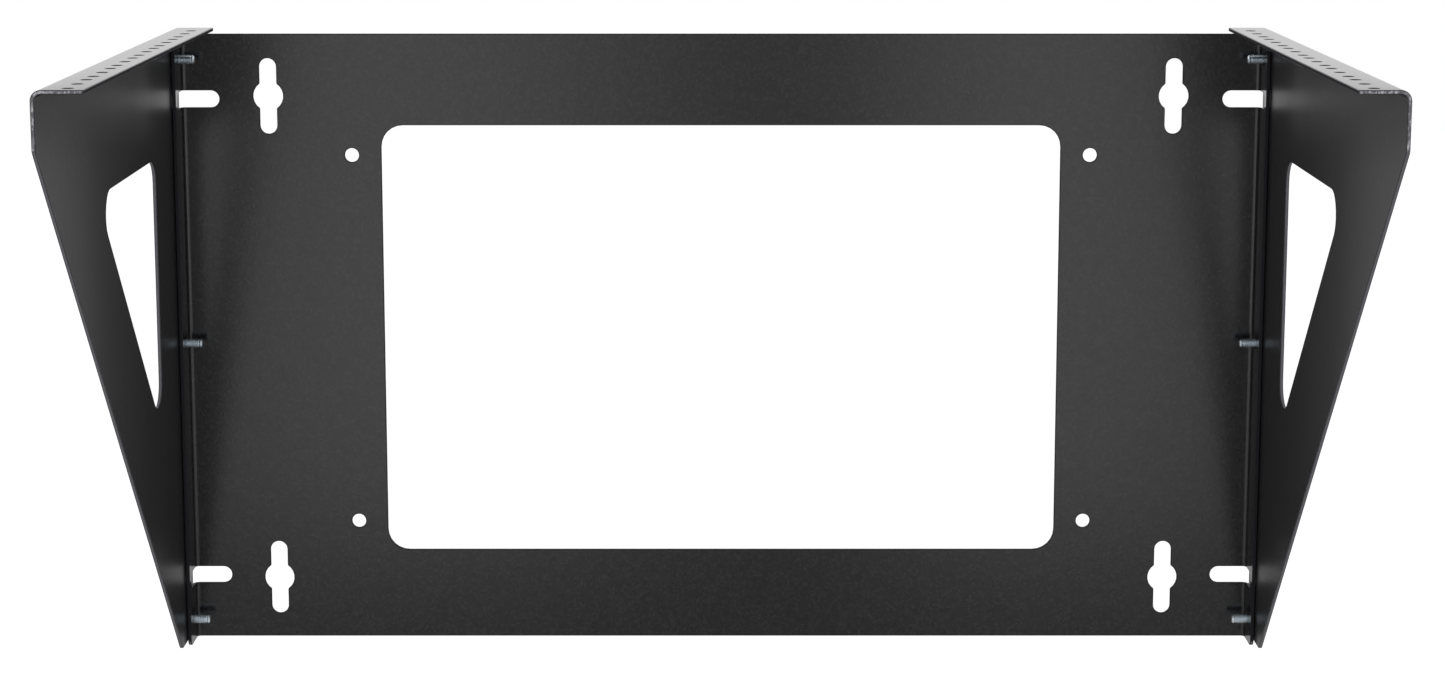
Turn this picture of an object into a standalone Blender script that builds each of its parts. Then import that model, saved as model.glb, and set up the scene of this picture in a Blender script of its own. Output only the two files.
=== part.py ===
"""Vertical wall bracket for 19-inch equipment, folded from steel sheet and screwed together.

The equipment hangs on edge between two side brackets, and its ears are screwed down onto the
drilled rails along their top edges. +X is to the right, the wall is the plane y = 0 with the
bracket reaching towards -Y, and +Z is up. The origin lies on the wall, midway between the two
upper keyholes. All lengths are in metres.
"""
import math

import bmesh
import bpy
from mathutils import Matrix, Vector

# Sheet metal and fits
SHEET = 0.0016                  # steel sheet with its powder coat
FIT_GAP = 0.0003                # clearance between pieces that are clamped together
TRIM = 0.004                    # how far a cutter or an untrimmed blank runs past the metal
PLATE_BEND = 0.0016             # inside radius of the two folds of the back plate
RAIL_BEND = 0.0024              # inside radius of the fold between side panel and rail

# Rack pattern
RACK_UNITS = 6
UNIT = 0.04445                  # one rack unit
UNIT_EDGE = 0.00635             # from a unit's end to its first and its last hole
RAIL_HOLE_PITCH = 0.4651        # between the hole rows of the two rails
RAIL_HOLE = 0.0042              # bore of a tapped rail hole
RAIL_START = 0.020              # from the wall to the end of the first unit
RAIL_OUTER = 0.01245            # from a hole row out to the outer face of the side panel
RAIL_INNER = 0.00675            # from a hole row in to the free edge of the rail
RAIL_REAR_GAP = 0.0085          # the rail stops this far from the wall
RELIEF = 0.0005                 # depth of the rear notch below the fold

# Back plate
PLATE_HEIGHT = 0.2782
PLATE_DROP = 0.0033             # top edge of the plate below the top face of the rails
FLANGE_DEPTH = 0.01905          # side flanges, measured from the wall
FLANGE_CORNER = 0.003
WINDOW_SIDE = 0.09035           # metal left beside the window
WINDOW_END = 0.04115            # metal left above and below the window
WINDOW_CORNER = 0.0097
KEYHOLE_SIDE = 0.0399           # keyhole centre from the flange: a 406.4 mm stud spacing
KEYHOLE_END = 0.027975          # keyhole centre from the plate's end: 222.25 mm apart
KEYHOLE_SLOT = 0.00762
KEYHOLE_LENGTH = 0.03405
KEYHOLE_ROUND = 0.01345
SLOT_WIDTH = 0.00764
SLOT_REACH = 0.018              # from the flange's outer face to the slot's end on the plate
SLOT_END = 0.02925              # slot centre from the plate's end
SLOT_LAND = 0.004               # metal left in front of the slot on the flange
PLATE_HOLE = 0.00635
PLATE_HOLE_OUT = 0.01335        # hole centre beside the window's side edge
PLATE_HOLE_IN = 0.0135          # hole centre inside the window's height

# Side brackets
PANEL_RISE = 0.0021             # bottom edge of the panel above the plate's bottom edge
FRONT_EDGE = 0.0224             # height of the upright front edge
BOTTOM_EDGE = 0.0297            # length of the bottom edge
PANEL_CORNER = 0.003
CUTOUT_BACK = 0.061             # rear edge of the cut-out from the wall
CUTOUT_TOP = 0.0525             # top edge of the cut-out below the rail's top face
CUTOUT_SLANT = 0.0523           # metal left between the cut-out and the slanted edge
CUTOUT_CORNER = 0.0102

# Machine screws
SCREW_DIAMETER = 0.00417
SCREW_LENGTH = 0.0111
SCREW_HEAD = 0.0082
SCREW_HEAD_HEIGHT = 0.0029
SCREW_POINT = 0.0005            # chamfer at the free end
SCREW_END = 0.01065             # outer screws from the plate's ends
CROSS_SPAN = 0.0046
CROSS_WIDTH = 0.0011
CROSS_DEPTH = 0.0018

# Facets
ARC_DEGREES = 15
RAIL_HOLE_SIDES = 20
SCREW_SIDES = 24
CROWN_FACETS = 5

# Worked out from the values above
HALF_WIDTH = RAIL_HOLE_PITCH / 2 + RAIL_OUTER
PLATE_HALF = HALF_WIDTH - SHEET - FIT_GAP
PLATE_TOP = KEYHOLE_END
PLATE_BOTTOM = PLATE_TOP - PLATE_HEIGHT
PLATE_MIDDLE = (PLATE_TOP + PLATE_BOTTOM) / 2
RAIL_TOP = PLATE_TOP + PLATE_DROP
PANEL_BOTTOM = PLATE_BOTTOM + PANEL_RISE
FRONT = RAIL_START + RACK_UNITS * UNIT
SCREW_SETBACK = (SHEET + FLANGE_DEPTH) / 2
SCREW_HOLE = SCREW_DIAMETER + 2 * FIT_GAP
HOLE_STEP = (UNIT - 2 * UNIT_EDGE) / 2

# Planes of flat outlines: the columns say where u, v and the thickness go
FRONT_PLANE = Matrix(((1, 0, 0), (0, 0, -1), (0, 1, 0))).to_4x4()
SIDE_PLANE = Matrix(((0, 0, 1), (1, 0, 0), (0, 1, 0))).to_4x4()
TOP_PLANE = Matrix.Identity(4)

SIDES = {"left": -1, "right": 1}
SCREW_ROWS = {
    "top": PLATE_TOP - SCREW_END,
    "middle": PLATE_MIDDLE,
    "bottom": PLATE_BOTTOM + SCREW_END,
}


def clear_scene():
    for item in list(bpy.data.objects):
        bpy.data.objects.remove(item, do_unlink=True)


def new_collection(name):
    collection = bpy.data.collections.new(name)
    bpy.context.scene.collection.children.link(collection)
    return collection


def arc(centre, radius, start, sweep):
    """Points of an arc about centre, from the start angle through sweep, both in radians."""
    steps = max(2, round(math.degrees(abs(sweep)) / ARC_DEGREES))
    angles = [start + sweep * step / steps for step in range(steps + 1)]
    return [(centre[0] + radius * math.cos(a), centre[1] + radius * math.sin(a)) for a in angles]


def filleted(corners, closed=True):
    """Outline through (u, v, radius) corners, with each corner rounded by its radius."""
    points = []
    last = len(corners) - 1
    for index, (u, v, radius) in enumerate(corners):
        if radius == 0 or (not closed and index in (0, last)):
            points.append((u, v))
            continue
        corner = Vector((u, v))
        before = (Vector(corners[index - 1][:2]) - corner).normalized()
        after = (Vector(corners[(index + 1) % len(corners)][:2]) - corner).normalized()
        half_angle = before.angle(after) / 2
        centre = corner + (before + after).normalized() * radius / math.sin(half_angle)
        start = corner + before * radius / math.tan(half_angle) - centre
        turn = math.copysign(math.pi - 2 * half_angle, after.cross(before))
        points += arc(centre, radius, math.atan2(start.y, start.x), turn)
    return points


def rectangle(low_u, high_u, low_v, high_v, radius):
    corners = ((low_u, low_v), (high_u, low_v), (high_u, high_v), (low_u, high_v))
    return filleted([(u, v, radius) for u, v in corners])


def keyhole(u, v):
    """A slot with round ends and a larger circle at mid-length, so that it takes a screw head."""
    slot = KEYHOLE_SLOT / 2
    big = KEYHOLE_ROUND / 2
    reach = KEYHOLE_LENGTH / 2 - slot
    meet = math.asin(slot / big)
    upper_end = arc((u, v + reach), slot, 0, math.pi)
    left_side = arc((u, v), big, math.pi / 2 + meet, math.pi - 2 * meet)
    lower_end = arc((u, v - reach), slot, math.pi, math.pi)
    right_side = arc((u, v), big, -math.pi / 2 + meet, math.pi - 2 * meet)
    return upper_end + left_side + lower_end + right_side


def flat_solid(name, outlines, plane, low, high):
    """Extrude closed outlines from low to high along the plane's third axis, as one mesh."""
    curve = bpy.data.curves.new(name, "CURVE")
    curve.dimensions = "2D"
    curve.fill_mode = "BOTH"
    curve.extrude = (high - low) / 2
    for outline in outlines:
        spline = curve.splines.new("POLY")
        spline.points.add(len(outline) - 1)
        for point, (u, v) in zip(spline.points, outline):
            point.co = (u, v, 0, 1)
        spline.use_cyclic_u = True
    drawn = bpy.data.objects.new(name + "_outline", curve)
    bpy.context.scene.collection.objects.link(drawn)
    drawn.matrix_world = plane @ Matrix.Translation((0, 0, (low + high) / 2))
    bpy.context.view_layer.update()
    mesh = bpy.data.meshes.new_from_object(drawn.evaluated_get(bpy.context.evaluated_depsgraph_get()))
    placed = drawn.matrix_world.copy()
    bpy.data.objects.remove(drawn)
    work = bmesh.new()
    work.from_mesh(mesh)
    bmesh.ops.remove_doubles(work, verts=work.verts, dist=1e-6)
    bmesh.ops.recalc_face_normals(work, faces=work.faces)
    work.to_mesh(mesh)
    work.free()
    mesh.name = name
    solid = bpy.data.objects.new(name, mesh)
    solid.matrix_world = placed
    return solid


def round_bars(name, diameter, sides, bars):
    """One mesh of separate round bars, each given by the centres of its two ends."""
    work = bmesh.new()
    for start, end in bars:
        start, end = Vector(start), Vector(end)
        turn = (end - start).to_track_quat("Z", "Y").to_matrix().to_4x4()
        place = Matrix.Translation((start + end) / 2) @ turn
        bmesh.ops.create_cone(work, cap_ends=True, segments=sides, radius1=diameter / 2,
                              radius2=diameter / 2, depth=(end - start).length, matrix=place)
    mesh = bpy.data.meshes.new(name)
    work.to_mesh(mesh)
    work.free()
    return bpy.data.objects.new(name, mesh)


def as_cutter(solid, collection):
    collection.objects.link(solid)
    solid.display_type = "WIRE"
    solid.hide_render = True
    return solid


def swept_surface(name, path, plane, low, high):
    """Sweep an open path straight from low to high along the plane's third axis."""
    work = bmesh.new()
    row = [work.verts.new((u, v, low)) for u, v in path]
    edges = [work.edges.new(pair) for pair in zip(row, row[1:])]
    swept = bmesh.ops.extrude_edge_only(work, edges=edges)["geom"]
    moved = [item for item in swept if isinstance(item, bmesh.types.BMVert)]
    bmesh.ops.translate(work, verts=moved, vec=(0, 0, high - low))
    bmesh.ops.transform(work, verts=work.verts, matrix=plane)
    mesh = bpy.data.meshes.new(name)
    work.to_mesh(mesh)
    work.free()
    return bpy.data.objects.new(name, mesh)


def add_sheet_thickness(surface, towards_normal):
    thicken = surface.modifiers.new("sheet", "SOLIDIFY")
    thicken.thickness = SHEET
    thicken.offset = 1 if towards_normal else -1
    thicken.use_even_offset = True


def cut(piece, cutter, operation="DIFFERENCE"):
    boolean = piece.modifiers.new(cutter.name, "BOOLEAN")
    boolean.object = cutter
    boolean.operation = operation
    boolean.solver = "EXACT"


def finish_material(name, colour, roughness, metallic):
    material = bpy.data.materials.new(name)
    material.use_nodes = True
    shader = material.node_tree.nodes["Principled BSDF"]
    shader.inputs["Base Color"].default_value = (*colour, 1)
    shader.inputs["Roughness"].default_value = roughness
    shader.inputs["Metallic"].default_value = metallic
    material.diffuse_color = (*colour, 1)
    return material


def black_powder_coat(piece_name):
    return finish_material(piece_name + "_powder_coat", (0.021, 0.021, 0.022), 0.45, 0.0)


def bright_zinc(piece_name):
    return finish_material(piece_name + "_zinc_plate", (0.62, 0.65, 0.68), 0.28, 1.0)


def plate_cutters(collection):
    """What is punched out of the back plate: its outline, its openings and the flange slots."""
    window_side = PLATE_HALF - WINDOW_SIDE
    window_top = PLATE_TOP - WINDOW_END
    window_bottom = PLATE_BOTTOM + WINDOW_END
    slot = SLOT_WIDTH / 2
    openings = [rectangle(-window_side, window_side, window_bottom, window_top, WINDOW_CORNER)]
    for side in SIDES.values():
        for end, inward in ((PLATE_TOP, -1), (PLATE_BOTTOM, 1)):
            openings.append(keyhole(side * (PLATE_HALF - KEYHOLE_SIDE), end + inward * KEYHOLE_END))
            slot_z = end + inward * SLOT_END
            inner = side * (PLATE_HALF - SLOT_REACH)
            outer = side * (PLATE_HALF + TRIM)
            corners = [(outer, slot_z - slot, 0), (inner, slot_z - slot, slot),
                       (inner, slot_z + slot, slot), (outer, slot_z + slot, 0)]
            openings.append(filleted(corners))
            hole = (side * (window_side + PLATE_HOLE_OUT), end + inward * (WINDOW_END + PLATE_HOLE_IN))
            openings.append(arc(hole, PLATE_HOLE / 2, 0, 2 * math.pi)[:-1])
    fold = PLATE_BEND + SHEET
    cutters = [as_cutter(flat_solid("plate_openings", openings, FRONT_PLANE, -TRIM, fold), collection)]

    slots = []
    for slot_z in (PLATE_TOP - SLOT_END, PLATE_BOTTOM + SLOT_END):
        front = SLOT_LAND - FLANGE_DEPTH
        slots.append(filleted([(TRIM, slot_z - slot, 0), (TRIM, slot_z + slot, 0),
                               (front, slot_z + slot, slot), (front, slot_z - slot, slot)]))
    for label, side in SIDES.items():
        span = sorted((side * (PLATE_HALF - fold), side * (PLATE_HALF + TRIM)))
        cutters.append(as_cutter(flat_solid("flange_slots_" + label, slots, SIDE_PLANE, *span), collection))
    return cutters


def plate_outline(collection):
    outline = filleted([(TRIM, PLATE_BOTTOM, 0), (TRIM, PLATE_TOP, 0),
                        (-FLANGE_DEPTH, PLATE_TOP, FLANGE_CORNER),
                        (-FLANGE_DEPTH, PLATE_BOTTOM, FLANGE_CORNER)])
    reach = PLATE_HALF + TRIM
    return as_cutter(flat_solid("plate_outline", [outline], SIDE_PLANE, -reach, reach), collection)


def build_back_plate(cutters, screw_holes):
    """A shallow channel: half of its section is drawn from the middle to the flange's edge."""
    half = [(0, 0, 0), (PLATE_HALF, 0, PLATE_BEND + SHEET), (PLATE_HALF, -FLANGE_DEPTH - TRIM, 0)]
    path = filleted(half, closed=False)
    plate = swept_surface("back_plate", path, TOP_PLANE, PLATE_BOTTOM - TRIM, PLATE_TOP + TRIM)
    mirror = plate.modifiers.new("left half", "MIRROR")
    mirror.merge_threshold = 0.00001
    add_sheet_thickness(plate, towards_normal=False)
    cut(plate, plate_outline(cutters), "INTERSECT")
    for cutter in plate_cutters(cutters):
        cut(plate, cutter)
    cut(plate, screw_holes)
    plate.data.materials.append(black_powder_coat("back_plate"))
    return plate


def panel_corners():
    """Corners of the side panel, from the top rear one round by the front."""
    return [(0, RAIL_TOP), (-FRONT, RAIL_TOP), (-FRONT, RAIL_TOP - FRONT_EDGE),
            (-BOTTOM_EDGE, PANEL_BOTTOM), (0, PANEL_BOTTOM)]


def panel_outline(collection):
    corners = panel_corners()
    radii = (0, 0, PANEL_CORNER, PANEL_CORNER, PANEL_CORNER)
    outline = filleted([(*corner, radius) for corner, radius in zip(corners, radii)])
    reach = HALF_WIDTH + TRIM
    return as_cutter(flat_solid("panel_outline", [outline], SIDE_PLANE, -reach, reach), collection)


def panel_cutout(collection):
    """The three-cornered opening, whose long edge is parallel to the panel's slanted edge."""
    slant_start, slant_end = (Vector(corner) for corner in panel_corners()[2:4])
    along = (slant_end - slant_start).normalized()
    inward = Vector((-along.y, along.x)) * CUTOUT_SLANT
    on_edge = slant_start + (inward if inward.y > 0 else -inward)
    top = RAIL_TOP - CUTOUT_TOP
    front = on_edge.x + along.x * (top - on_edge.y) / along.y
    bottom = on_edge.y + along.y * (-CUTOUT_BACK - on_edge.x) / along.x
    corners = ((-CUTOUT_BACK, top), (front, top), (-CUTOUT_BACK, bottom))
    outline = filleted([(*corner, CUTOUT_CORNER) for corner in corners])
    reach = HALF_WIDTH + TRIM
    return as_cutter(flat_solid("panel_cutout", [outline], SIDE_PLANE, -reach, reach), collection)


def rail_relief(collection):
    """The notch behind the rail's rear end, which lets the fold stop short of the wall."""
    floor = RAIL_TOP - RAIL_BEND - SHEET - RELIEF
    reach = HALF_WIDTH + TRIM
    block = rectangle(-RAIL_REAR_GAP, TRIM, floor, RAIL_TOP + TRIM, 0)
    return as_cutter(flat_solid("rail_relief", [block], SIDE_PLANE, -reach, reach), collection)


def rail_holes(collection):
    bars = []
    for side in SIDES.values():
        x = side * RAIL_HOLE_PITCH / 2
        for unit in range(RACK_UNITS):
            for hole in range(3):
                y = -(RAIL_START + unit * UNIT + UNIT_EDGE + hole * HOLE_STEP)
                bars.append(((x, y, RAIL_TOP - SHEET - TRIM), (x, y, RAIL_TOP + TRIM)))
    return as_cutter(round_bars("rail_holes", RAIL_HOLE, RAIL_HOLE_SIDES, bars), collection)


def build_bracket(name, side, cutters):
    """A side panel with the rack rail folded inward along its top edge."""
    inner = RAIL_HOLE_PITCH / 2 - RAIL_INNER
    section = [(side * inner, RAIL_TOP, 0), (side * HALF_WIDTH, RAIL_TOP, RAIL_BEND + SHEET),
               (side * HALF_WIDTH, PANEL_BOTTOM - TRIM, 0)]
    path = filleted(section, closed=False)
    bracket = swept_surface(name, path, FRONT_PLANE, -TRIM, FRONT + TRIM)
    add_sheet_thickness(bracket, towards_normal=side < 0)
    outline, *openings = cutters
    cut(bracket, outline, "INTERSECT")
    for cutter in openings:
        cut(bracket, cutter)
    bracket.data.materials.append(black_powder_coat(name))
    return bracket


def screw_hole_bars(collection):
    bars = []
    for side in SIDES.values():
        for z in SCREW_ROWS.values():
            inner = (side * (PLATE_HALF - SHEET - TRIM), -SCREW_SETBACK, z)
            outer = (side * (HALF_WIDTH + TRIM), -SCREW_SETBACK, z)
            bars.append((inner, outer))
    return as_cutter(round_bars("screw_holes", SCREW_HOLE, SCREW_SIDES, bars), collection)


def screw_profile():
    """Half section of a pan-head screw, from the head's crown down to the free end."""
    head = SCREW_HEAD / 2
    shank = SCREW_DIAMETER / 2
    edge = SCREW_HEAD_HEIGHT / 2
    angles = [math.pi / 2 * facet / CROWN_FACETS for facet in range(CROWN_FACETS + 1)]
    crown = [(head * math.sin(a), edge + edge * math.cos(a)) for a in angles]
    return crown + [(head, 0), (shank, 0), (shank, SCREW_POINT - SCREW_LENGTH),
                    (shank - SCREW_POINT, -SCREW_LENGTH), (0, -SCREW_LENGTH)]


def screw_mesh(collection):
    """The screw's mesh: a turned body with a cross recess sunk into its head."""
    profile = screw_profile()
    mesh = bpy.data.meshes.new("screw_section")
    links = [(index, index + 1) for index in range(len(profile) - 1)]
    mesh.from_pydata([(r, 0, z) for r, z in profile], links, [])
    body = bpy.data.objects.new("screw_body", mesh)
    collection.objects.link(body)
    turned = body.modifiers.new("turned", "SCREW")
    turned.steps = SCREW_SIDES
    turned.render_steps = SCREW_SIDES
    turned.use_merge_vertices = True
    turned.merge_threshold = 0.00001
    arm = CROSS_SPAN / 2
    half = CROSS_WIDTH / 2
    quarter = [(arm, -half), (arm, half), (half, half)]
    cross = []
    for turn in range(4):
        spin = Matrix.Rotation(turn * math.pi / 2, 2)
        cross += [tuple(spin @ Vector(point)) for point in quarter]
    bottom = SCREW_HEAD_HEIGHT - CROSS_DEPTH
    recess = flat_solid("cross_recess", [cross], TOP_PLANE, bottom, SCREW_HEAD_HEIGHT + TRIM)
    cut(body, as_cutter(recess, collection))
    bpy.context.view_layer.update()
    shape = bpy.data.meshes.new_from_object(body.evaluated_get(bpy.context.evaluated_depsgraph_get()))
    bpy.data.objects.remove(body)
    shape.name = "pan_head_screw"
    shape.shade_smooth()
    shape.set_sharp_from_angle(angle=math.radians(30))
    shape.materials.clear()
    shape.materials.append(bright_zinc("screw"))
    return shape


def build_screws(cutters):
    """Three screws a side, each with its head outside the panel and its end inside the flange."""
    shape = screw_mesh(cutters)
    screws = []
    for label, side in SIDES.items():
        for row, z in SCREW_ROWS.items():
            screw = bpy.data.objects.new("screw_" + label + "_" + row, shape)
            screw.location = (side * (HALF_WIDTH + FIT_GAP), -SCREW_SETBACK, z)
            screw.rotation_euler = (0, side * math.pi / 2, 0)
            screws.append(screw)
    return screws


def main():
    clear_scene()
    model = new_collection("wall_mount_open_frame_rack")
    cutters = new_collection("cutters")
    holder = bpy.data.objects.new("rack_origin", None)
    model.objects.link(holder)

    screw_holes = screw_hole_bars(cutters)
    bracket_cutters = [panel_outline(cutters), panel_cutout(cutters), rail_relief(cutters),
                       rail_holes(cutters), screw_holes]
    pieces = [build_back_plate(cutters, screw_holes)]
    for label, side in SIDES.items():
        pieces.append(build_bracket(label + "_bracket", side, bracket_cutters))
    pieces += build_screws(cutters)
    for piece in pieces:
        model.objects.link(piece)
        piece.parent = holder


main()
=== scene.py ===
"""Looks of a wall mount open frame rack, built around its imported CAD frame.

The rack is three folded steel sheets under one satin black powder coat, held together by six
bright zinc-plated machine screws. +X is to the right, the wall is the plane y = 0 with the rack
reaching towards -Y, and +Z is up. All lengths are in metres.
"""
import math

import bmesh
import bpy
from mathutils import Matrix, Vector


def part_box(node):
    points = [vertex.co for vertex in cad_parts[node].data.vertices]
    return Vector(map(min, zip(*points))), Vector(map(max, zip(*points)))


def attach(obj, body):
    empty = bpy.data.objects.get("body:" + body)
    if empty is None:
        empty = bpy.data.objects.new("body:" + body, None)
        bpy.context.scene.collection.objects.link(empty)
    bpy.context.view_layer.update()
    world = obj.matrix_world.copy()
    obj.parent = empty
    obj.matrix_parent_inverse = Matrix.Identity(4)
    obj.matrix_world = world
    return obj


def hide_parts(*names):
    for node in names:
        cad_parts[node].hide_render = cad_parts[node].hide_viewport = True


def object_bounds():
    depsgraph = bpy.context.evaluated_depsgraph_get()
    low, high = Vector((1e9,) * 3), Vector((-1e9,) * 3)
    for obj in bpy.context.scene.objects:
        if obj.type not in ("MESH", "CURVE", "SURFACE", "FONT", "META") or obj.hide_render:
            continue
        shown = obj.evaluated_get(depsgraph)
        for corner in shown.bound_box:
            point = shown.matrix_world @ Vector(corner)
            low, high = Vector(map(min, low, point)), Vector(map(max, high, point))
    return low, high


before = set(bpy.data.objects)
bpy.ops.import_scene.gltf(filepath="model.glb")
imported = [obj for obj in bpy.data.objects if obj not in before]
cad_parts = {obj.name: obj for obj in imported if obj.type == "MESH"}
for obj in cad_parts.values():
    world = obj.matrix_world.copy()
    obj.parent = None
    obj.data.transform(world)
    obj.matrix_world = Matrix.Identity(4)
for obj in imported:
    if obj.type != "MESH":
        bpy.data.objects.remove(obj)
cad_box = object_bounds()

bl_info = {
    "name": "Wall Mount Open Frame Rack",
    "version": (1, 0, 0),
    "blender": (4, 5, 0),
    "location": "3D View > Sidebar > Rack",
    "description": "Coats the rack's sheets, threads its screws and hangs it above a pale floor",
    "category": "Object",
}

SIDES = {"left": -1, "right": 1}
ROWS = ("top", "middle", "bottom")

# Finishes of a folded sheet, in the order of its material slots. The third is a painted shade: a
# darker matt coat on some of the cut edges
SKIN, PUNCHED, SHADED_EDGE, SHEARED = range(4)

# Sizes shared with the part's solids
SHEET = 0.0016                  # steel sheet with its powder coat
FIT_GAP = 0.0003                # clearance between pieces that are clamped together
RACK_UNITS = 6
UNIT = 0.04445                  # one rack unit
UNIT_EDGE = 0.00635             # from a unit's end to its first hole
HOLES_PER_UNIT = 3
HOLE_STEP = 0.015875            # between the holes of one unit
RAIL_START = 0.020              # from the wall to the end of the first unit
RAIL_HOLE_PITCH = 0.4651        # between the hole rows of the two rails

# Limits that tell faces and points apart
PLATE_FOLD = 0.0036             # the plate's folds lie this close to its sides and to the wall
RAIL_FOLD = 0.0045              # the rails' folds lie this close to their top faces
EDGE_REACH = 0.001              # a rail's edge and end lie this close to its bracket's box
SQUARE_ON = 0.98                # an axis's share in the normal of a face that looks along it
EDGE_ON = 0.02                  # and in the normal of one that lies along it
SAME_CORNER = 0.000002          # corners of a solid's facets this close are one
ON_PLANE = 0.0000001            # a corner this close to a cutting plane is on it
FLAT = math.radians(0.5)        # facets that meet at less than this are one flat face
SAME_POINT = 0.0000005          # points of a turned or wound form this close are one

# Softboxes on the right: place, target, width, height and power setting. The left ones mirror them
SOFTBOXES = {
    "front_softbox": ((0.31, -1.5, -0.15), (0.31, 0.0, -0.15), 0.9, 0.9, "front_power"),
    "side_softbox": ((1.7, -1.3, 0.0), (0.0, 0.0, -0.1), 1.0, 1.0, "side_power"),
    "back_softbox": ((0.49, 1.4, -0.35), (0.49, 0.0, -0.35), 0.38, 0.6, "back_power"),
}


def linear(hex_colour):
    """An sRGB hex value as linear red, green and blue."""
    values = [int(hex_colour[i:i + 2], 16) / 255 for i in (1, 3, 5)]
    return tuple(v / 12.92 if v <= 0.04045 else ((v + 0.055) / 1.055) ** 2.4 for v in values)


def add_node(tree, kind, inputs=None, **settings):
    """Add a node with its settings; an input that is a socket is linked, any other is a value."""
    node = tree.nodes.new(kind)
    for name, value in settings.items():
        setattr(node, name, value)
    for name, value in (inputs or {}).items():
        if isinstance(value, bpy.types.NodeSocket):
            tree.links.new(value, node.inputs[name])
        else:
            node.inputs[name].default_value = value
    return node


def new_material(name):
    """A material with an empty node tree, and the tree."""
    material = bpy.data.materials.new(name)
    material.use_nodes = True
    material.node_tree.nodes.clear()
    return material, material.node_tree


def made_once(name, make, *settings):
    """The material of that name, made the first time that it is asked for."""
    return bpy.data.materials.get(name) or make(name, *settings)


def satin_powder_coat(name, coat, roughness, relief, edge_on_roughness):
    """Polyester powder, sprayed dry and baked: an even satin black with a fine pebbled skin.

    The tops of the pebbles are drawn in a paler colour, a painted highlight of the light that
    they catch, which the eye sees as a fine grain, and the wider orange peel makes what the
    sheet reflects waver. Almost edge-on the shine changes: it sharpens on the brackets, where
    the pebbles hide each other, and spreads on the flanges, so they don't mirror the screws.
    """
    waver = 0.008                                # either way in roughness, from the orange peel
    material, tree = new_material(name)
    place = add_node(tree, "ShaderNodeTexCoord").outputs["Object"]
    grain = add_node(tree, "ShaderNodeTexNoise", {"Vector": place, "Scale": 1 / coat.grain,
                                                  "Detail": 2.0, "Roughness": 0.6}).outputs["Fac"]
    peel = add_node(tree, "ShaderNodeTexNoise", {"Vector": place, "Scale": 1 / coat.peel,
                                                 "Detail": 1.0, "Roughness": 0.5}).outputs["Fac"]
    height = add_node(tree, "ShaderNodeMix", {"Factor": 0.35, "A": grain,
                                              "B": peel}).outputs["Result"]
    bump = add_node(tree, "ShaderNodeBump", {"Height": height, "Distance": relief,
                                             "Strength": 1.0})
    # Painted highlight: the pebbles' tops get the paler pebble colour for the light that they catch
    pebble = add_node(tree, "ShaderNodeMapRange", {"Value": grain,
                                                   "From Min": 0.42, "From Max": 0.66,
                                                   "To Min": 0.0, "To Max": 1.0}).outputs["Result"]
    shade = add_node(tree, "ShaderNodeMix", {"Factor": pebble, "A": (*coat.colour, 1),
                                             "B": (*coat.pebble_highlight_colour, 1)}, data_type="RGBA")
    rough = add_node(tree, "ShaderNodeMapRange", {"Value": peel,
                                                  "From Min": 0.3, "From Max": 0.7,
                                                  "To Min": roughness - waver,
                                                  "To Max": roughness + waver}).outputs["Result"]
    facing = add_node(tree, "ShaderNodeLayerWeight", {"Blend": 0.5}).outputs["Facing"]
    edge_on = add_node(tree, "ShaderNodeMapRange", {"Value": facing,
                                                    "From Min": 0.875, "From Max": 0.91,
                                                    "To Min": 0.0, "To Max": 1.0}).outputs["Result"]
    rough = add_node(tree, "ShaderNodeMix", {"Factor": edge_on, "A": rough,
                                             "B": edge_on_roughness}).outputs["Result"]
    skin = add_node(tree, "ShaderNodeBsdfPrincipled", {"Base Color": shade.outputs["Result"],
                                                       "Roughness": rough, "IOR": 1.5,
                                                       "Normal": bump.outputs["Normal"]})
    add_node(tree, "ShaderNodeOutputMaterial", {"Surface": skin.outputs["BSDF"]})
    return material


def coat_on_cut_edge(name, coat, colour, gloss):
    """The same coat on a cut edge of the sheet, thin and dry over the torn steel.

    The eye sees a matt band: a grey one on the punched edges, partly the coat running thin over
    the steel and partly a painted highlight of edges that catch the light, and a dark one on the
    rails' long inner edges, the flanges' front edges and the back plate's rounded arrises, which
    is painted shade.
    """
    dark, pale = ([share * value for value in colour] for share in (0.6, 1.4))
    material, tree = new_material(name)
    place = add_node(tree, "ShaderNodeTexCoord").outputs["Object"]
    tear = add_node(tree, "ShaderNodeTexNoise", {"Vector": place, "Scale": 1 / coat.tear,
                                                 "Detail": 3.0, "Roughness": 0.65}).outputs["Fac"]
    shade = add_node(tree, "ShaderNodeMix", {"Factor": tear, "A": (*dark, 1), "B": (*pale, 1)},
                     data_type="RGBA")
    bump = add_node(tree, "ShaderNodeBump", {"Height": tear, "Distance": coat.tear_relief,
                                             "Strength": 1.0})
    skin = add_node(tree, "ShaderNodeBsdfPrincipled", {"Base Color": shade.outputs["Result"],
                                                       "Roughness": 0.62, "IOR": 1.5,
                                                       "Specular IOR Level": gloss,
                                                       "Normal": bump.outputs["Normal"]})
    add_node(tree, "ShaderNodeOutputMaterial", {"Surface": skin.outputs["BSDF"]})
    return material


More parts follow.
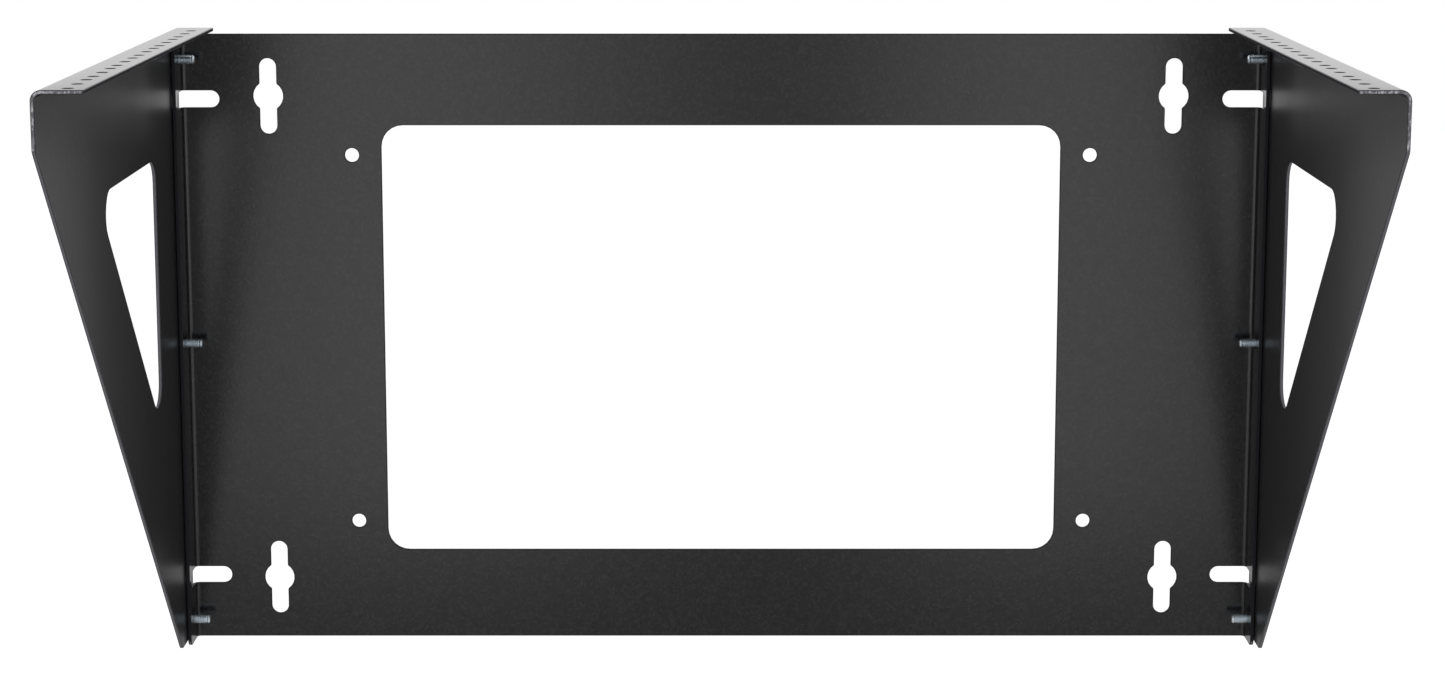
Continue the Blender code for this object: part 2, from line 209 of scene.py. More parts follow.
def coat_on_sheared_end(name, coat):
    """The same coat on the sheared front ends, where it draws back from slanting tears.

    The eye sees pale strokes and specks between the dark rounded arrises. The specks are partly
    bare steel where the coat draws back and partly painted glints of torn steel that catches the
    light; the grey between them is partly a painted highlight as well.
    """
    material, tree = new_material(name)
    place = add_node(tree, "ShaderNodeTexCoord").outputs["Object"]
    slant = add_node(tree, "ShaderNodeMapping",
                     {"Vector": place, "Rotation": (0, math.radians(40), 0),
                      "Scale": (1 / coat.tear, 1 / coat.tear, 0.4 / coat.tear)}).outputs["Vector"]
    tear = add_node(tree, "ShaderNodeTexNoise", {"Vector": slant, "Scale": 1.0, "Detail": 2.0,
                                                 "Roughness": 0.6}).outputs["Fac"]
    # Painted glints: the pale specks stand partly for bare steel and partly for light that the torn
    # steel catches
    speck = add_node(tree, "ShaderNodeMapRange", {"Value": tear,
                                                  "From Min": 0.46, "From Max": 0.66,
                                                  "To Min": 0.0, "To Max": 1.0}).outputs["Result"]
    shade = add_node(tree, "ShaderNodeMix", {"Factor": speck, "A": (*coat.edge_colour, 1),
                                             "B": (*coat.speck_and_glint_colour, 1)}, data_type="RGBA")
    bump = add_node(tree, "ShaderNodeBump", {"Height": tear, "Distance": coat.tear_relief,
                                             "Strength": 1.0})
    skin = add_node(tree, "ShaderNodeBsdfPrincipled", {"Base Color": shade.outputs["Result"],
                                                       "Roughness": 0.5, "IOR": 1.5,
                                                       "Normal": bump.outputs["Normal"]})
    add_node(tree, "ShaderNodeOutputMaterial", {"Surface": skin.outputs["BSDF"]})
    return material


def bright_zinc_plate(zinc):
    """Zinc, electroplated on rolled threads with a clear blue passivate.

    The eye sees a bright, cool metal, a little uneven, with its highlights softened.
    """
    material, tree = new_material("blue_bright_zinc_plate")
    place = add_node(tree, "ShaderNodeTexCoord").outputs["Object"]
    cloud = add_node(tree, "ShaderNodeTexNoise", {"Vector": place, "Scale": 1 / zinc.bloom,
                                                  "Detail": 3.0, "Roughness": 0.6}).outputs["Fac"]
    shade = add_node(tree, "ShaderNodeMix", {"Factor": cloud, "A": (*zinc.colour, 1),
                                             "B": (*zinc.bloom_colour, 1)}, data_type="RGBA")
    rough = add_node(tree, "ShaderNodeMapRange", {"Value": cloud,
                                                  "From Min": 0.3, "From Max": 0.7,
                                                  "To Min": 0.24, "To Max": 0.38}).outputs["Result"]
    skin = add_node(tree, "ShaderNodeBsdfPrincipled", {"Base Color": shade.outputs["Result"],
                                                       "Metallic": 1.0, "Roughness": rough})
    add_node(tree, "ShaderNodeOutputMaterial", {"Surface": skin.outputs["BSDF"]})
    return material


def coat_materials(coat, part):
    """The coat of one part, the plate or the brackets, in the order of a sheet's finishes."""
    looks = {"plate": (coat.plate_roughness, coat.plate_relief, coat.plate_edge_on),
             "brackets": (coat.bracket_roughness, coat.bracket_relief, coat.bracket_edge_on)}[part]
    edge, colour = {"plate": ("flange", coat.flange_edge_colour),
                    "brackets": ("rail", coat.rail_edge_colour)}[part]
    skin = made_once("satin_black_powder_coat_on_" + part, satin_powder_coat, coat, *looks)
    # The grey of the punched edges is partly the coat running thin over steel and partly a painted
    # highlight of edges that catch the light
    punched = made_once("powder_coat_on_punched_edge", coat_on_cut_edge, coat, coat.edge_colour,
                        coat.edge_gloss)
    # Painted shade: a darker matt coat with no shine, on the flanges' front edges and the plate's
    # rounded arrises, or on the rails' long inner edges
    dry = made_once("powder_coat_on_" + edge + "_edge", coat_on_cut_edge, coat, colour, 0.0)
    if part == "plate":
        return [skin, punched, dry]
    sheared = made_once("powder_coat_on_sheared_end", coat_on_sheared_end, coat)
    return [skin, punched, dry, sheared]


def new_piece(name, mesh, materials):
    """Link a mesh as a piece of the rack that rides with its only body."""
    piece = bpy.data.objects.new(name, mesh)
    bpy.context.scene.collection.objects.link(piece)
    for material in materials:
        mesh.materials.append(material)
    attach(piece, "root")
    return piece


def sheet_mesh(node, cuts):
    """A copy of a folded sheet's solid, with its flat facets joined into whole faces.

    Level faces stay parted at each y in cuts, so that no face's outline runs past a hole to the
    next one.
    """
    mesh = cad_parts[node].data.copy()
    mesh.materials.clear()
    work = bmesh.new()
    work.from_mesh(mesh)
    bmesh.ops.remove_doubles(work, verts=work.verts, dist=SAME_CORNER)
    for depth in cuts:
        level = [face for face in work.faces if abs(face.normal.z) > SQUARE_ON]
        parts = {part for face in level for part in (face, *face.edges, *face.verts)}
        cut = bmesh.ops.bisect_plane(work, geom=list(parts), dist=ON_PLANE,
                                     plane_co=(0, depth, 0), plane_no=(0, 1, 0))["geom_cut"]
        for edge in cut:
            if isinstance(edge, bmesh.types.BMEdge):
                edge.seam = True
    bmesh.ops.dissolve_limit(work, angle_limit=FLAT, verts=work.verts, edges=work.edges,
                             delimit={"SEAM"})
    work.to_mesh(mesh)
    work.free()
    return mesh


def mark_finishes(mesh, finish_of):
    """Give each face its finish, which finish_of reads from its normal and its centre."""
    for face in mesh.polygons:
        face.material_index = finish_of(face.normal, face.center)
        face.use_smooth = True


def round_edges(piece, radius, finish):
    """Round the sheet's arrises as the coat does when it flows, and keep the flats flat."""
    bevel = piece.modifiers.new("coated arris", "BEVEL")
    bevel.width = radius
    bevel.segments = 3
    bevel.limit_method = "ANGLE"
    bevel.angle_limit = math.radians(35)
    bevel.use_clamp_overlap = False
    bevel.material = finish
    flats = piece.modifiers.new("flat faces", "WEIGHTED_NORMAL")
    flats.mode = "FACE_AREA"
    flats.weight = 100


def dress_sheet(node, finish_of, coat, materials, arris_finish, cuts=()):
    """Stand a coated sheet with rounded arrises in for its plain solid."""
    mesh = sheet_mesh(node, cuts)
    mark_finishes(mesh, finish_of)
    piece = new_piece(node + "_sheet", mesh, materials)
    round_edges(piece, coat.arris, arris_finish)
    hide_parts(node)


def rail_hole_depths():
    """How far each of a rail's 18 tapped holes stands out from the wall."""
    return [RAIL_START + unit * UNIT + UNIT_EDGE + hole * HOLE_STEP
            for unit in range(RACK_UNITS) for hole in range(HOLES_PER_UNIT)]


class RackCoat(bpy.types.PropertyGroup):
    """The powder coat on the folded sheets."""

    colour: bpy.props.FloatVectorProperty(
        name="Coat colour", description="Body colour of the powder coat, without its shine",
        subtype="COLOR", size=3, min=0, max=1, default=linear("#09090A"))
    # Painted highlight: the paler colour given to the pebbles' tops stands in for the light that
    # they catch
    pebble_highlight_colour: bpy.props.FloatVectorProperty(
        name="Pebble colour", description="Tops of the coat's pebbles, which catch the light",
        subtype="COLOR", size=3, min=0, max=1, default=linear("#1F1F21"))
    # Partly the coat's grey where it runs thin over torn steel, and partly a painted highlight of
    # cut edges that catch the light
    edge_colour: bpy.props.FloatVectorProperty(
        name="Edge colour", description="Coat colour on the punched edges and the sheared ends",
        subtype="COLOR", size=3, min=0, max=1, default=linear("#58585D"))
    # Painted shade: a darker matt coat on the flanges' front edges and the back plate's rounded
    # arrises
    flange_edge_colour: bpy.props.FloatVectorProperty(
        name="Flange edge colour", description="Shaded coat on the front edges of the plate's flanges",
        subtype="COLOR", size=3, min=0, max=1, default=linear("#27272A"))
    # Painted shade: a darker matt coat on the rails' long inner edges, which face away from the
    # lamps
    rail_edge_colour: bpy.props.FloatVectorProperty(
        name="Rail edge colour", description="Shaded coat on the rails' long inner edges",
        subtype="COLOR", size=3, min=0, max=1, default=linear("#333337"))
    # Partly bare steel and partly painted glints of torn steel that catches the light
    speck_and_glint_colour: bpy.props.FloatVectorProperty(
        name="Speck colour", description="Pale specks where the coat is thin on a sheared end",
        subtype="COLOR", size=3, min=0, max=1, default=linear("#B4B4B8"))
    edge_gloss: bpy.props.FloatProperty(
        name="Edge gloss", description="Shine of the coat on the punched edges",
        subtype="FACTOR", min=0, max=1, default=0.4)
    plate_roughness: bpy.props.FloatProperty(
        name="Plate satin", description="Roughness of the coat's shine on the back plate",
        subtype="FACTOR", min=0.1, max=1, default=0.2)
    bracket_roughness: bpy.props.FloatProperty(
        name="Bracket satin", description="Roughness of the coat's shine on the side brackets",
        subtype="FACTOR", min=0.1, max=1, default=0.38)
    plate_edge_on: bpy.props.FloatProperty(
        name="Plate edge-on satin",
        description="Roughness of the back plate's shine seen almost edge-on",
        subtype="FACTOR", min=0.1, max=1, default=0.45)
    bracket_edge_on: bpy.props.FloatProperty(
        name="Bracket edge-on satin",
        description="Roughness of the brackets' shine seen almost edge-on",
        subtype="FACTOR", min=0.1, max=1, default=0.14)
    grain: bpy.props.FloatProperty(
        name="Grain width",
        description="Width of the coat's fine pebbles, drawn twice as wide as real so it shows",
        unit="LENGTH", subtype="DISTANCE", min=0.0002, max=0.005, default=0.0011, precision=5)
    peel: bpy.props.FloatProperty(
        name="Orange peel width", description="Width of the slow waves in the coat",
        unit="LENGTH", subtype="DISTANCE", min=0.001, max=0.02, default=0.0035, precision=5)
    plate_relief: bpy.props.FloatProperty(
        name="Plate grain height", description="Height of the pebbles on the back plate",
        unit="LENGTH", subtype="DISTANCE", min=0, max=0.0005, default=0.000026, precision=6)
    bracket_relief: bpy.props.FloatProperty(
        name="Bracket grain height", description="Height of the pebbles on the side brackets",
        unit="LENGTH", subtype="DISTANCE", min=0, max=0.0005, default=0.000009, precision=6)
    tear: bpy.props.FloatProperty(
        name="Tear width", description="Width of the torn grain on cut edges",
        unit="LENGTH", subtype="DISTANCE", min=0.0002, max=0.005, default=0.0008, precision=5)
    tear_relief: bpy.props.FloatProperty(
        name="Tear height", description="Height of the torn grain on cut edges",
        unit="LENGTH", subtype="DISTANCE", min=0, max=0.0005, default=0.00006, precision=6)
    arris: bpy.props.FloatProperty(
        name="Edge radius", description="Radius of the coated edges of the sheet",
        unit="LENGTH", subtype="DISTANCE", min=0.00005, max=0.0006, default=0.00035, precision=5)


class RackScrews(bpy.types.PropertyGroup):
    """The machine screws through the side panels, and the threads tapped in the rails."""

    colour: bpy.props.FloatVectorProperty(
        name="Zinc colour", description="Colour of the bright zinc",
        subtype="COLOR", size=3, min=0, max=1, default=linear("#EEF2F5"))
    bloom_colour: bpy.props.FloatVectorProperty(
        name="Bloom colour", description="Cooler tone that clouds the zinc",
        subtype="COLOR", size=3, min=0, max=1, default=linear("#C3D2DC"))
    bloom: bpy.props.FloatProperty(
        name="Bloom width", description="Width of the clouds in the zinc",
        unit="LENGTH", subtype="DISTANCE", min=0.0002, max=0.01, default=0.0012, precision=5)
    diameter: bpy.props.FloatProperty(
        name="Thread diameter", description="Outer diameter of the screw's thread",
        unit="LENGTH", subtype="DISTANCE", min=0.002, max=0.006, default=0.00417, precision=5)
    pitch: bpy.props.FloatProperty(
        name="Thread pitch", description="Distance between two turns, 32 to the inch",
        unit="LENGTH", subtype="DISTANCE", min=0.0003, max=0.002, default=0.0254 / 32,
        precision=6)
    recess: bpy.props.FloatProperty(
        name="Recess span", description="Span of the cross recess in the head",
        unit="LENGTH", subtype="DISTANCE", min=0.002, max=0.006, default=0.0046, precision=5)
    rail_bore: bpy.props.FloatProperty(
        name="Rail bore", description="Bore of a tapped hole in the rack rails",
        unit="LENGTH", subtype="DISTANCE", min=0.003, max=0.008, default=0.0042, precision=5)


class RackStage(bpy.types.PropertyGroup):
    """The pale floor, the soft light and the camera."""

    floor_colour: bpy.props.FloatVectorProperty(
        name="Floor colour", description="Colour of the floor",
        subtype="COLOR", size=3, min=0, max=1, default=linear("#E6E6E6"))
    floor_lift: bpy.props.FloatProperty(
        name="Floor lift", description="How much the floor is lifted to white for the eye",
        min=0, max=1, default=0.5)
    floor_drop: bpy.props.FloatProperty(
        name="Floor drop", description="Height of the rack's lowest edge above the floor",
        unit="LENGTH", subtype="DISTANCE", min=0, max=3, default=0.45)
    surround: bpy.props.FloatProperty(
        name="Surround", description="Strength of the white surround as it lights the rack",
        min=0, max=2, default=0.7)
    front_wall: bpy.props.FloatProperty(
        name="Front wall", description="Brightness of the gap behind the camera in reflections",
        min=0, max=1, default=0.25)
    front_power: bpy.props.FloatProperty(
        name="Front softboxes", description="Power of each softbox beside the camera",
        subtype="POWER", unit="POWER", min=0, max=200, default=3.6)
    side_power: bpy.props.FloatProperty(
        name="Side softboxes", description="Power of each softbox at the sides",
        subtype="POWER", unit="POWER", min=0, max=200, default=3.8)
    back_power: bpy.props.FloatProperty(
        name="Back softboxes", description="Power of each softbox behind the wall's plane",
        subtype="POWER", unit="POWER", min=0, max=200, default=0.5)


def thread_rows(major, minor, pitch, low, high, turn_steps):
    """Rows of points that follow a 60 degree thread's crests and roots from low to high."""
    # In shares of the pitch: both ends of the flat crest, then both ends of the flat root
    marks = ((0.0, major), (0.125, major), (0.44, minor), (0.69, minor))
    first = math.floor(low / pitch) - 1
    last = math.ceil(high / pitch) + 1
    rows = []
    for turn in range(first, last + 1):
        for phase, radius in marks:
            row = []
            for step in range(turn_steps):
                height = pitch * (turn + phase + step / turn_steps)
                row.append((step, min(max(height, low), high), radius))
            rows.append(row)
    return rows, len(marks)


def add_thread(work, major, minor, pitch, low, high, turn_steps=32):
    """Wind a thread about the Z axis into a bmesh, flat at both ends."""
    rows, per_turn = thread_rows(major, minor, pitch, low, high, turn_steps)
    rings = []
    for row in rows:
        ring = []
        for step, height, radius in row:
            radius = min(radius, minor + height - low)
            angle = 2 * math.pi * step / turn_steps
            ring.append(work.verts.new((radius * math.cos(angle), radius * math.sin(angle),
                                        height)))
        rings.append(ring)
    for index in range(len(rings) - 1):
        for step in range(turn_steps - 1):
            work.faces.new((rings[index][step], rings[index][step + 1],
                            rings[index + 1][step + 1], rings[index + 1][step]))
        if index + per_turn + 1 < len(rings):
            work.faces.new((rings[index][-1], rings[index + per_turn][0],
                            rings[index + per_turn + 1][0], rings[index + 1][-1]))
    bmesh.ops.remove_doubles(work, verts=work.verts, dist=SAME_POINT)


def spin_section(work, section, sides):
    """Turn a half section of (radius, height) points about the Z axis into a bmesh."""
    verts = [work.verts.new((radius, 0, height)) for radius, height in section]
    edges = [work.edges.new(pair) for pair in zip(verts, verts[1:])]
    bmesh.ops.spin(work, geom=verts + edges, cent=(0, 0, 0), axis=(0, 0, 1), angle=2 * math.pi,
                   steps=sides, use_merge=True)
    bmesh.ops.remove_doubles(work, verts=work.verts, dist=SAME_POINT)


def add_plain_end(work, radius, tip, start, end, sides=32):
    """The screw's unthreaded end band, with a chamfer down to its flat tip."""
    chamfer = radius - tip
    section = ((tip, start), (radius, start - chamfer / 2), (radius, end + chamfer), (tip, end),
               (0.0, end))
    spin_section(work, section, sides)


def turned_head(work, radius, height, sides=48):
    """Spin a pan head about the Z axis, from its bearing face at z = 0 to its crown."""
    rim = height / 2
    fillet = 0.0002                              # between the bearing face and the rim
    inset = fillet * 0.3                         # from the fillet's middle to its corner
    crown_steps = 10
    section = [(0.0, 0.0), (radius - fillet, 0.0), (radius - inset, inset), (radius, fillet)]
    section += [(radius * math.cos(a), rim + rim * math.sin(a)) for a in
                (math.pi / 2 * step / crown_steps for step in range(crown_steps))]
    section.append((0.0, height))
    spin_section(work, section, sides)
    bmesh.ops.recalc_face_normals(work, faces=work.faces)


def cross_recess(span, depth, top):
    """A tapered four-winged cutter, wide at the head's crown and narrow at its floor."""
    work = bmesh.new()
    width = span * 0.27                          # of a wing at the crown
    slimmest = 0.55                              # share of its width that a wing keeps
    clear = 0.0005                               # between the crown and the cutter's upper end
    tapers = ((top + clear, 1.12), (top - depth * 0.75, 0.62), (top - depth, 0.2))
    levels = []
    for height, scale in tapers:
        arm, half = span / 2 * scale, width / 2 * max(scale, slimmest)
        outline = []
        for quarter in range(4):
            spin = Matrix.Rotation(quarter * math.pi / 2, 3, "Z")
            corners = ((max(arm, half), -half, height), (max(arm, half), half, height),
                       (half, half, height))
            outline += [spin @ Vector(corner) for corner in corners]
        levels.append([work.verts.new(corner) for corner in outline])
    count = len(levels[0])
    for upper, lower in zip(levels, levels[1:]):
        for index in range(count):
            after = (index + 1) % count
            work.faces.new((upper[index], upper[after], lower[after], lower[index]))
    work.faces.new(levels[0])
    work.faces.new(levels[-1])
    bmesh.ops.recalc_face_normals(work, faces=work.faces)
    mesh = bpy.data.meshes.new("cross_recess")
    work.to_mesh(mesh)
    work.free()
    return bpy.data.objects.new("cross_recess", mesh)


def screw_head_mesh(radius, height, span):
    """The pan head, with its cross recess cut by a Boolean and baked into the mesh."""
    work = bmesh.new()
    turned_head(work, radius, height)
    mesh = bpy.data.meshes.new("pan_head_blank")
    work.to_mesh(mesh)
    work.free()
    blank = bpy.data.objects.new("pan_head_blank", mesh)
    recess_depth = height * 0.62
    cutter = cross_recess(span, recess_depth, height)
    for item in (blank, cutter):
        bpy.context.scene.collection.objects.link(item)
    cut = blank.modifiers.new("recess", "BOOLEAN")
    cut.object = cutter
    cut.operation = "DIFFERENCE"
    cut.solver = "EXACT"
    bpy.context.view_layer.update()
    evaluated = blank.evaluated_get(bpy.context.evaluated_depsgraph_get())
    head = bpy.data.meshes.new_from_object(evaluated)
    for item in (blank, cutter):
        bpy.data.objects.remove(item)
    return head


def machine_screw_mesh(name, head_radius, head_height, length, screws):
    """A pan head screw along the Z axis, with its thread below z = 0 and its head above."""
    work = bmesh.new()
    work.from_mesh(screw_head_mesh(head_radius, head_height, screws.recess))
    thread = bmesh.new()
    depth = 0.6134 * screws.pitch                # an external inch thread's depth
    major = screws.diameter / 2
    band = 1.4 * screws.pitch                    # length of the unthreaded end
    slimmer = 0.0001                             # from the thread's crest to that end's radius
    tip = major - depth - 0.0002                 # radius of its flat tip, inside the root
    add_thread(thread, major, major - depth, screws.pitch, band - length, 0.0)
    add_plain_end(thread, major - slimmer, tip, band - length, -length)
    bmesh.ops.recalc_face_normals(thread, faces=thread.faces)
    shank = bpy.data.meshes.new("screw_thread")
    thread.to_mesh(shank)
    thread.free()
    work.from_mesh(shank)
    mesh = bpy.data.meshes.new(name)
    work.to_mesh(mesh)
    work.free()
    mesh.shade_smooth()
    mesh.set_sharp_from_angle(angle=math.radians(32))
    return mesh


def thread_ridge(work, centre, bore, pitch, low, high, turn_steps=24):
    """A ridge of triangular section that winds up the wall of one tapped hole."""
    bite = 0.00003                               # of the ridge's foot into the wall
    depth = 0.00035                              # of the thread
    start = 0.28                                 # in turns, from the lower end of the hole
    spare = 0.55                                 # in turns, left plain at the two ends together
    fade_steps = 5
    steps = math.floor(((high - low) / pitch - spare) * turn_steps)
    wall, crest, half = bore / 2 + bite, bore / 2 - depth, pitch * 0.36
    last = None
    for step in range(steps + 1):
        angle = 2 * math.pi * step / turn_steps
        height = low + pitch * (start + step / turn_steps)
        fade = min(1.0, step / fade_steps, (steps - step) / fade_steps)
        inner = wall + (crest - wall) * fade
        around = Vector((math.cos(angle), math.sin(angle), 0))
        now = [work.verts.new(centre + around * wall + Vector((0, 0, height - half))),
               work.verts.new(centre + around * inner + Vector((0, 0, height))),
               work.verts.new(centre + around * wall + Vector((0, 0, height + half)))]
        if last:
            for a, b in ((0, 1), (1, 2), (2, 0)):
                work.faces.new((last[a], last[b], now[b], now[a]))
        last = now


class RACK_OT_back_plate(bpy.types.Operator):
    """Coat the back plate and round its cut edges"""

    bl_idname = "rack.back_plate"
    bl_label = "Back plate"

    def execute(self, context):
        coat = context.scene.rack_coat
        low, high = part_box("back_plate")

        def finish_of(normal, centre):
            forward = centre.y < low.y / 2
            outward = abs(centre.x) > high.x - PLATE_FOLD
            # The flanges' front edges get the painted shade, a darker matt coat
            if outward and forward and normal.y < -SQUARE_ON:
                return SHADED_EDGE
            plate = abs(normal.y) > SQUARE_ON and not forward
            flange = outward and abs(normal.x) > SQUARE_ON
            fold = outward and abs(normal.y) > EDGE_ON and centre.y > -PLATE_FOLD
            return SKIN if (plate or flange or fold) and abs(normal.z) < EDGE_ON else PUNCHED

        # The plate's rounded arrises get the same painted shade, a darker matt coat
        dress_sheet("back_plate", finish_of, coat, coat_materials(coat, "plate"), SHADED_EDGE)
        return {"FINISHED"}


class RACK_OT_side_brackets(bpy.types.Operator):
    """Coat the two side brackets and round their cut edges"""

    bl_idname = "rack.side_brackets"
    bl_label = "Side brackets"

    def execute(self, context):
        coat = context.scene.rack_coat
        depths = rail_hole_depths()
        cuts = [-(near + far) / 2 for near, far in zip(depths, depths[1:])]
        for label in SIDES:
            low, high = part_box(label + "_bracket")
            inner = min(abs(low.x), abs(high.x)) + EDGE_REACH
            front = low.y + EDGE_REACH

            def finish_of(normal, centre, top=high.z, inner=inner, front=front):
                # The rails' long inner edges get the painted shade, a darker matt coat
                if abs(normal.x) > SQUARE_ON and abs(centre.x) < inner:
                    return SHADED_EDGE
                if normal.y < -SQUARE_ON and centre.y < front:
                    return SHEARED
                panel = abs(normal.x) > SQUARE_ON
                rail = centre.z > top - RAIL_FOLD and abs(normal.z) > EDGE_ON
                return SKIN if (panel or rail) and abs(normal.y) < EDGE_ON else PUNCHED

            dress_sheet(label + "_bracket", finish_of, coat, coat_materials(coat, "brackets"),
                        SKIN, cuts)
        return {"FINISHED"}


class RACK_OT_rail_threads(bpy.types.Operator):
    """Wind a thread into each tapped hole of the two rack rails"""

    bl_idname = "rack.rail_threads"
    bl_label = "Rail threads"

    def execute(self, context):
        screws = context.scene.rack_screws
        coat = context.scene.rack_coat
        cover = 0.0003                           # the thread ends this far below the rail's top
        for label, side in SIDES.items():
            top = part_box(label + "_bracket")[1].z
            work = bmesh.new()
            for depth in rail_hole_depths():
                centre = Vector((side * RAIL_HOLE_PITCH / 2, -depth, 0))
                thread_ridge(work, centre, screws.rail_bore, screws.pitch, top - SHEET,
                             top - cover)
            bmesh.ops.recalc_face_normals(work, faces=work.faces)
            mesh = bpy.data.meshes.new(label + "_rail_threads")
            work.to_mesh(mesh)
            work.free()
            mesh.shade_smooth()
            new_piece(label + "_rail_threads", mesh, coat_materials(coat, "brackets")[:1])
        return {"FINISHED"}


class RACK_OT_screws(bpy.types.Operator):
    """Turn the six machine screws, with rolled threads and cross recesses"""

    bl_idname = "rack.screws"
    bl_label = "Machine screws"

    def execute(self, context):
        screws = context.scene.rack_screws
        zinc = bright_zinc_plate(screws)
        turn = 0.0
        next_turn = 0.7                          # in radians: the cross recesses don't line up
        for label, side in SIDES.items():
            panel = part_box(label + "_bracket")[0 if side < 0 else 1].x
            seat = abs(panel) + FIT_GAP
            for row in ROWS:
                node = "screw_" + label + "_" + row
                low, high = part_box(node)
                outer = max(abs(low.x), abs(high.x))
                inner = min(abs(low.x), abs(high.x))
                head_radius = (high.y - low.y) / 2
                mesh = machine_screw_mesh(node + "_threaded", head_radius, outer - seat,
                                          seat - inner, screws)
                place = Matrix.Translation((side * seat, (low.y + high.y) / 2,
                                            (low.z + high.z) / 2))
                mesh.transform(place @ Matrix.Rotation(side * math.pi / 2, 4, "Y")
                               @ Matrix.Rotation(turn, 4, "Z"))
                piece = new_piece(node + "_threaded", mesh, [zinc])
                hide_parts(node)
                turn += next_turn
        return {"FINISHED"}


def pale_floor_material(stage):
    """Matt white painted board: it takes the rack's shadow, and is lifted to white for the eye."""
    material, tree = new_material("matt_white_board")
    rays = add_node(tree, "ShaderNodeLightPath")
    board = add_node(tree, "ShaderNodeBsdfDiffuse", {"Color": (*stage.floor_colour, 1)})
    lift = add_node(tree, "ShaderNodeEmission", {"Color": (1, 1, 1, 1),
                                                 "Strength": stage.floor_lift})
    both = add_node(tree, "ShaderNodeAddShader", {0: board.outputs["BSDF"],
                                                  1: lift.outputs["Emission"]})
    seen = add_node(tree, "ShaderNodeMixShader", {0: rays.outputs["Is Camera Ray"],
                                                  1: board.outputs["BSDF"],
                                                  2: both.outputs["Shader"]})
    add_node(tree, "ShaderNodeOutputMaterial", {"Surface": seen.outputs["Shader"]})
    return material


def white_surround(stage):
    """A white studio: full white to the eye, with a dim gap behind the camera in reflections."""
    world = bpy.data.worlds.new("white_surround")
    world.use_nodes = True
    tree = world.node_tree
    tree.nodes.clear()
    rays = add_node(tree, "ShaderNodeLightPath")
    direction = add_node(tree, "ShaderNodeTexCoord").outputs["Generated"]
    parts = add_node(tree, "ShaderNodeSeparateXYZ", {"Vector": direction})
    across = add_node(tree, "ShaderNodeMath", {0: parts.outputs["X"]}, operation="ABSOLUTE")
    mirrored = stage.front_wall
    for share, dim_to, bright_from, brightness in ((parts.outputs["Y"], -0.4, 0.2, 1.0),
                                                   (across.outputs["Value"], 0.3, 0.6, 0.9),
                                                   (parts.outputs["Z"], 0.3, 0.6, 1.0)):
        wall = add_node(tree, "ShaderNodeMapRange", {"Value": share, "From Min": dim_to,
                                                     "From Max": bright_from,
                                                     "To Min": stage.front_wall,
                                                     "To Max": brightness},
                        interpolation_type="SMOOTHSTEP").outputs["Result"]
        mirrored = add_node(tree, "ShaderNodeMath", {0: mirrored, 1: wall},
                            operation="MAXIMUM").outputs["Value"]
    lit = add_node(tree, "ShaderNodeMix", {"Factor": rays.outputs["Is Glossy Ray"],
                                           "A": stage.surround,
                                           "B": mirrored}).outputs["Result"]
    seen = add_node(tree, "ShaderNodeMath", {0: rays.outputs["Is Camera Ray"],
                                             1: rays.outputs["Is Transmission Ray"]},
                    operation="MAXIMUM").outputs["Value"]
    level = add_node(tree, "ShaderNodeMix", {"Factor": seen, "A": lit,
                                             "B": 1.0}).outputs["Result"]
    light = add_node(tree, "ShaderNodeBackground", {"Color": (1, 1, 1, 1), "Strength": level})
    add_node(tree, "ShaderNodeOutputWorld", {"Surface": light.outputs["Background"]})
    return world


def softbox(name, place, target, width, height, power):
    """A light that faces its target, brightest down its middle and faded out at its two sides."""
    lamp = bpy.data.lights.new(name, "AREA")
    lamp.shape = "RECTANGLE"
    lamp.size = width
    lamp.size_y = height
    lamp.energy = power
    lamp.use_nodes = True
    tree = lamp.node_tree
    tree.nodes.clear()
    across = add_node(tree, "ShaderNodeNewGeometry").outputs["Parametric"]
    across = add_node(tree, "ShaderNodeSeparateXYZ", {"Vector": across}).outputs["X"]
    away = add_node(tree, "ShaderNodeMath", {0: across, 1: 0.5}, operation="SUBTRACT")
    away = add_node(tree, "ShaderNodeMath", {0: away.outputs["Value"]}, operation="ABSOLUTE")
    fade = add_node(tree, "ShaderNodeMapRange", {"Value": away.outputs["Value"],
                                                 "From Min": 0.5, "From Max": 0.0,
                                                 "To Min": 0.0, "To Max": 1.0},
                    interpolation_type="SMOOTHSTEP").outputs["Result"]
    glow = add_node(tree, "ShaderNodeEmission", {"Color": (1, 1, 1, 1), "Strength": fade})
    add_node(tree, "ShaderNodeOutputLight", {"Surface": glow.outputs["Emission"]})
    box = bpy.data.objects.new(name, lamp)
    bpy.context.scene.collection.objects.link(box)
    box.location = place
    box.rotation_euler = (Vector(target) - Vector(place)).to_track_quat("-Z", "Y").to_euler()


def photograph_camera():
    """The photograph's viewpoint: just above the rails, straight in front, looking down."""
    tilt = math.radians(9.381)                   # below level
    lens = bpy.data.cameras.new("camera")
    lens.sensor_width = 36
    lens.lens = 75.403
    lens.shift_x = 0.00109
    lens.shift_y = -0.04
    lens.clip_start = 0.05
    lens.clip_end = 60
    camera = bpy.data.objects.new("camera", lens)
    bpy.context.scene.collection.objects.link(camera)
    camera.location = (0, -1.3550, 0.1383)
    camera.rotation_euler = (math.pi / 2 - tilt, 0, 0)
    bpy.context.scene.camera = camera


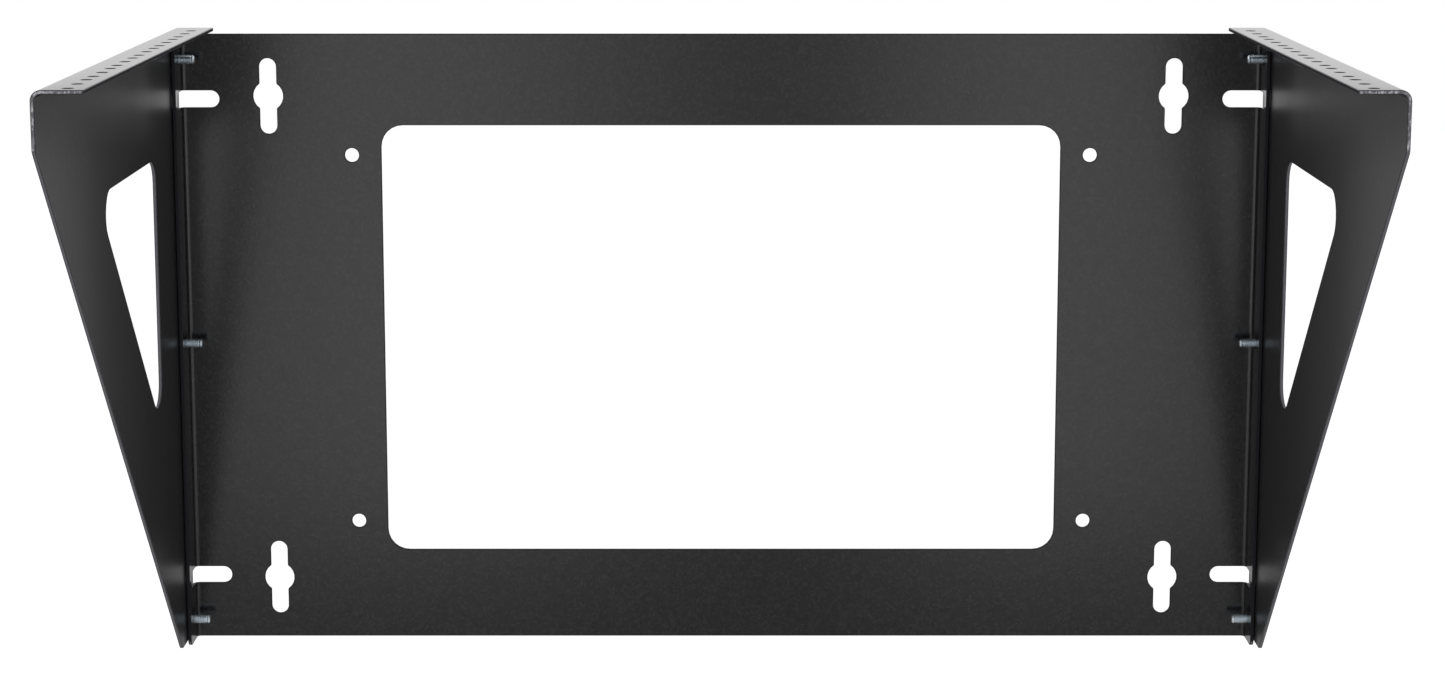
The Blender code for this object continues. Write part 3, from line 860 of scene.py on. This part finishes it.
class RACK_OT_stage(bpy.types.Operator):
    """Lay the pale floor, and set the surround, the softboxes and the camera"""

    bl_idname = "rack.stage"
    bl_label = "Stage"

    def execute(self, context):
        stage = context.scene.rack_stage
        level = cad_box[0].z - stage.floor_drop
        corners = [(x, y, level) for x, y in ((-5, -1.2), (5, -1.2), (5, 6), (-5, 6))]
        mesh = bpy.data.meshes.new("floor")
        mesh.from_pydata(corners, [], [(0, 1, 2, 3)])
        mesh.materials.append(pale_floor_material(stage))
        floor = bpy.data.objects.new("floor", mesh)
        context.scene.collection.objects.link(floor)
        context.scene.world = white_surround(stage)
        for label, side in SIDES.items():
            for name, (place, target, width, height, power) in SOFTBOXES.items():
                softbox(label + "_" + name, (side * place[0], *place[1:]),
                        (side * target[0], *target[1:]), width, height, getattr(stage, power))
        photograph_camera()
        context.scene.view_settings.view_transform = "Standard"
        return {"FINISHED"}


PIECE_OPERATORS = (RACK_OT_back_plate, RACK_OT_side_brackets, RACK_OT_rail_threads,
                   RACK_OT_screws, RACK_OT_stage)


class RACK_PT_panel(bpy.types.Panel):
    """Sizes, colours and pieces of the rack"""

    bl_idname = "RACK_PT_panel"
    bl_label = "Open frame rack"
    bl_space_type = "VIEW_3D"
    bl_region_type = "UI"
    bl_category = "Rack"

    def draw(self, context):
        scene = context.scene
        for title, group in (("Powder coat", scene.rack_coat), ("Screws", scene.rack_screws),
                             ("Stage", scene.rack_stage)):
            box = self.layout.box()
            box.label(text=title)
            for name in group.__annotations__:
                box.prop(group, name)
        for operator in PIECE_OPERATORS:
            self.layout.operator(operator.bl_idname)


SETTINGS = {"rack_coat": RackCoat, "rack_screws": RackScrews, "rack_stage": RackStage}
CLASSES = (*SETTINGS.values(), *PIECE_OPERATORS, RACK_PT_panel)


def register():
    for item in CLASSES:
        bpy.utils.register_class(item)
    for name, group in SETTINGS.items():
        setattr(bpy.types.Scene, name, bpy.props.PointerProperty(type=group))


def unregister():
    for name in SETTINGS:
        delattr(bpy.types.Scene, name)
    for item in reversed(CLASSES):
        bpy.utils.unregister_class(item)


def main():
    register()
    bpy.ops.rack.back_plate()
    bpy.ops.rack.side_brackets()
    bpy.ops.rack.rail_threads()
    bpy.ops.rack.screws()
    bpy.ops.rack.stage()
    bpy.context.view_layer.update()


if __name__ == "__main__":
    main()
